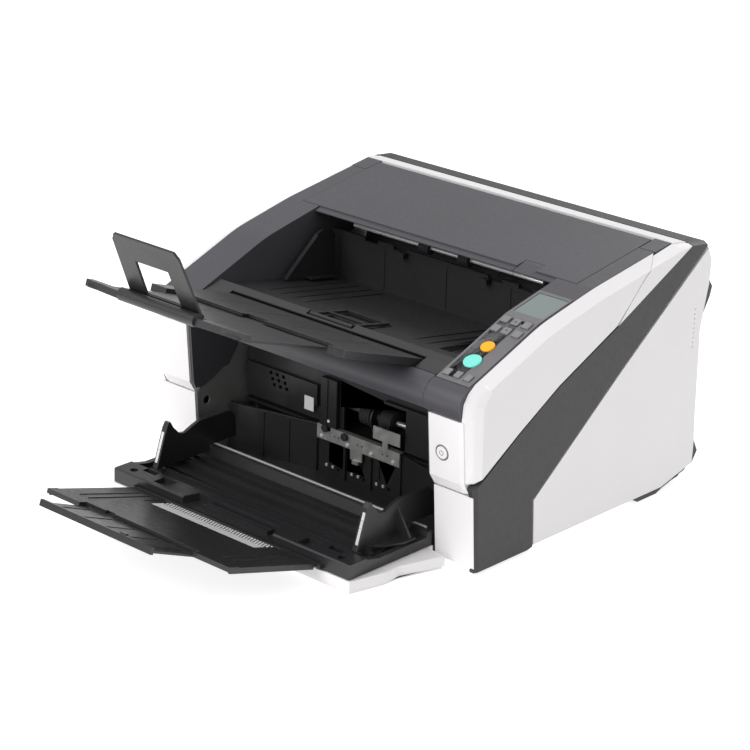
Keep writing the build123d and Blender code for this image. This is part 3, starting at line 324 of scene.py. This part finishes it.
def pick_rollers():
    """Pick shaft, its ribbed rubber tyres and the dark disc with its hub."""
    place = frame_of(PICK_AXLE, *ACROSS)
    mesh = bmesh.new()
    lathe(mesh, [(CENTRE, -49.8), (2.6, -49.8), (2.95, -49.3), (2.95, 57.3), (2.6, 57.8),
                 (CENTRE, 57.8)], place, 32)
    shaft = piece("pick_shaft", mesh, "zinc_steel", "pick_roller_body")
    mesh = bmesh.new()
    rib_pitch = 2
    for x0, x1 in ((-9.8, 4.8), (17.2, 33.8)):
        profile = [(3, x0), (9.5, x0), (9.8, x0 + 0.5), (12, x0 + 0.5), (12.4, x0 + 1)]
        for i in range(int((x1 - x0 - 2) / rib_pitch)):
            x = x0 + 1.8 + rib_pitch * i
            profile += [(12.4, x), (11.9, x + 0.2), (11.9, x + 0.6), (12.4, x + 0.8)]
        profile += [(12.4, x1 - 1), (12, x1 - 0.5), (9.8, x1 - 0.5), (9.5, x1), (3, x1)]
        lathe(mesh, profile, place)
    tyres = piece("pick_tyres", mesh, "roller_rubber", "pick_roller_body")
    mesh = bmesh.new()
    lathe(mesh, [(3, 6.6), (5.6, 6.6), (6, 7), (6, 8.1), (14.9, 8.1), (15.4, 8.5), (15.4, 10.5),
                 (14.9, 10.9), (13.8, 10.9), (13.4, 10.4), (7, 10.4), (6.4, 10.9), (6, 12), (5.6, 12.4),
                 (3, 12.4)], place)
    disc = piece("pick_disc", mesh, "inner_black", "pick_roller_body")
    for obj in (shaft, tyres, disc):
        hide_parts("pick_roller")


def power_mark():
    """Plain ring round the power key and a plain stroke-and-arc mark on it."""
    outwards = (-Vector(JOINTS["power_button_press"]["axis"])).normalized()
    above_key = 0.001
    place = frame_of(at(179, -182.3, 119.5) + outwards * above_key, X, outwards)
    mesh = bmesh.new()
    lathe(mesh, [(6.75, -1.2), (8.1, -1.2), (8.1, -0.9), (7.9, -0.75), (6.95, -0.75), (6.75, -0.9)],
          place, 64)
    piece("power_ring", mesh, "panel_grey", "upper_unit", 0.00005)
    mesh = bmesh.new()
    plate(mesh, arc(2.6, 125, 415, 28) + arc(2.0, 415, 125, 28), -0.15, 0.12, place)
    plate(mesh, box_outline(-0.3, 0.3, 0.8, 3.1), -0.15, 0.12, place)
    piece("power_symbol", mesh, "panel_grey", "power_button_body", 0.00003)


def key_marks():
    """Plain arrow heads on the up and down keys."""
    up_arrow = [(-1.7, -1.2), (1.7, -1.2), (0, 1.5)]
    down_arrow = [(-1.7, 1.2), (0, -1.5), (1.7, 1.2)]
    above_middle = 0.0036
    for key, points in (("up_key", up_arrow), ("down_key", down_arrow)):
        axis = Vector(JOINTS[key + "_press"]["axis"]).normalized()
        low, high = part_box(key)
        middle = (Vector(low) + Vector(high)) / 2
        place = frame_of(middle - axis * above_middle, X, -axis)
        mesh = bmesh.new()
        plate(mesh, points, -0.15, 0.1, place)
        piece(key + "_mark", mesh, "charcoal_plastic", key + "_body", 0.00003)


def hopper_strips():
    """White paper-size strip and its rows of dots across the first hopper extension."""
    tilt = radians(15.7)
    place = frame_of(at(0, -288.3, 19.3), X, Vector((0, sin(tilt), cos(tilt))))
    mesh = bmesh.new()
    plate(mesh, box_outline(-70, 70, -32.6, -19.4), 1.1, 1.62, place)
    piece("size_strip", mesh, "white_plastic", "hopper_extension_1_body", 0.00005)
    mesh = bmesh.new()
    dot, rows, columns, column_pitch, row_pitch = (1.9, 1.6), 4, 38, 3.7, 3.4
    for row in range(rows):
        for column in range(columns):
            x = -70 + column * column_pitch + (row % 2) * column_pitch / 2
            y = -17.9 + row * row_pitch
            plate(mesh, box_outline(x, x + dot[0], y, y + dot[1]), 1.1, 1.75, place)
    piece("size_dots", mesh, "white_plastic", "hopper_extension_1_body", 0.00003)


def bay_details():
    """Sensor discs, white marks, guide tabs and bracket screws in the hopper bay."""
    mesh = bmesh.new()
    for x, z in ((-42, 58), (-15, 56)):
        lathe(mesh, [(CENTRE, 0), (4.2, 0), (4.2, 1.2), (3.7, 1.6), (1.6, 1.6), (1.4, 1.1), (CENTRE, 1.1)],
              frame_of(at(x, -106.2, z), X, FORWARDS), 40)
    piece("sensor_discs", mesh, "rubber", "upper_unit")
    mesh = bmesh.new()
    lathe(mesh, [(CENTRE, 0), (1.7, 0), (1.7, 0.5), (1.3, 0.9), (CENTRE, 0.9)],
          frame_of(at(-37, -106.2, 67), X, FORWARDS), 32)
    plate(mesh, box_outline(-73, -60, -7.5, 7.5), 0, 0.5, frame_of(at(0, -104.1, 77.5), X, FORWARDS))
    piece("white_marks", mesh, "white_plastic", "upper_unit", 0.00006)
    mesh = bmesh.new()
    for centre in (-35, 0, 34):
        for side in (-4.4, 4.4):
            place = frame_of(at(centre + side, -104, 18.2), X, FORWARDS)
            plate(mesh, box_outline(-1.3, 1.3, -1.2, 1.6), 0, 1.6, place)
    piece("guide_tabs", mesh, "edge_steel", "base", 0.0001)
    mesh = bmesh.new()
    for x in (-48, -12, 20, 50):
        lathe(mesh, [(CENTRE, 0), (2.3, 0), (2.3, 0.6), (1.9, 1.1), (0.9, 1.2), (0.7, 0.7), (CENTRE, 0.7)],
              frame_of(at(x, -104.3, 48), X, FORWARDS), 32)
    piece("bracket_screws", mesh, "edge_steel", "base", 0.00006)


def guide_strips():
    """Bright scale strips on the front faces of the hopper side guides."""
    for side, x in (("left", -137), ("right", 137)):
        low, high = at(x, -250.6, 32.4), at(x, -240.9, 62.8)
        face = Vector(X).cross((high - low).normalized())
        mesh = bmesh.new()
        plate(mesh, box_outline(-1.6, 1.6, 0, (high - low).length * 1000), -0.3, 0.25,
              frame_of(low, X, face))
        piece(side + "_guide_strip", mesh, "edge_steel", side + "_hopper_guide_body", 0.00006)


exit_rollers()
pick_rollers()
power_mark()
key_marks()
hopper_strips()
bay_details()
guide_strips()


# ---------------------------------------------------------------- stage and light
FLOOR_REACH = 6
FLOOR_BELOW = 0.0002
FLOOR_GLOW = 0.8
DOME_LOW, DOME_HIGH = 0.36, 0.95


def make_floor():
    """A pale floor that glows a little, so that it stays even and nearly without shadow."""
    mesh = bpy.data.meshes.new("floor")
    corners = [(-FLOOR_REACH, -FLOOR_REACH, 0), (FLOOR_REACH, -FLOOR_REACH, 0),
               (FLOOR_REACH, FLOOR_REACH, 0), (-FLOOR_REACH, FLOOR_REACH, 0)]
    mesh.from_pydata(corners, [], [(0, 1, 2, 3)])
    floor = bpy.data.objects.new("floor", mesh)
    bpy.context.scene.collection.objects.link(floor)
    floor.location.z = -FLOOR_BELOW
    paper = material("floor", (0.5, 0.5, 0.5), 0.85, mottle=0.003, grain_bump=0.0, wear_and_highlight=0.0)
    shader = next(node for node in paper.node_tree.nodes if node.type == "BSDF_PRINCIPLED")
    shader.inputs["Emission Color"].default_value = (1, 1, 1, 1)
    shader.inputs["Emission Strength"].default_value = FLOOR_GLOW
    mesh.materials.append(paper)


def make_world():
    """A pale studio dome, brighter overhead than at the horizon."""
    world = bpy.data.worlds.new("world")
    bpy.context.scene.world = world
    world.use_nodes = True
    n = Nodes(world.node_tree)
    direction = n.add("ShaderNodeTexCoord").outputs["Generated"]
    height = n.add("ShaderNodeSeparateXYZ", {"Vector": direction}).outputs["Z"]
    level = n.add("ShaderNodeMapRange", {"Value": height, "From Min": -0.1, "From Max": 0.9,
                                         "To Min": DOME_LOW, "To Max": DOME_HIGH})
    background = n.add("ShaderNodeBackground", {"Color": (1, 1, 1, 1),
                                                "Strength": level.outputs["Result"]})
    n.add("ShaderNodeOutputWorld", {"Surface": background.outputs["Background"]})


def area_light(name, place, target, size, power):
    """A soft rectangular light, placed in metres and turned to its target."""
    data = bpy.data.lights.new(name, "AREA")
    data.shape = "RECTANGLE"
    data.size, data.size_y = size
    data.energy = power
    light = bpy.data.objects.new(name, data)
    bpy.context.scene.collection.objects.link(light)
    light.location = place
    light.rotation_euler = (Vector(target) - Vector(place)).to_track_quat("-Z", "Y").to_euler()


make_floor()
make_world()
area_light("key", (-0.5, -1.9, 1.7), (0, 0.05, 0.1), (1.5, 1.5), 34)
area_light("bay", (0.15, -1.9, 0.45), (0, 0, 0.1), (0.8, 0.5), 7)
area_light("back", (-0.2, 2.2, 1.7), (0, 0.1, 0.15), (1.8, 1.0), 22)
bpy.context.scene.view_settings.view_transform = "Standard"
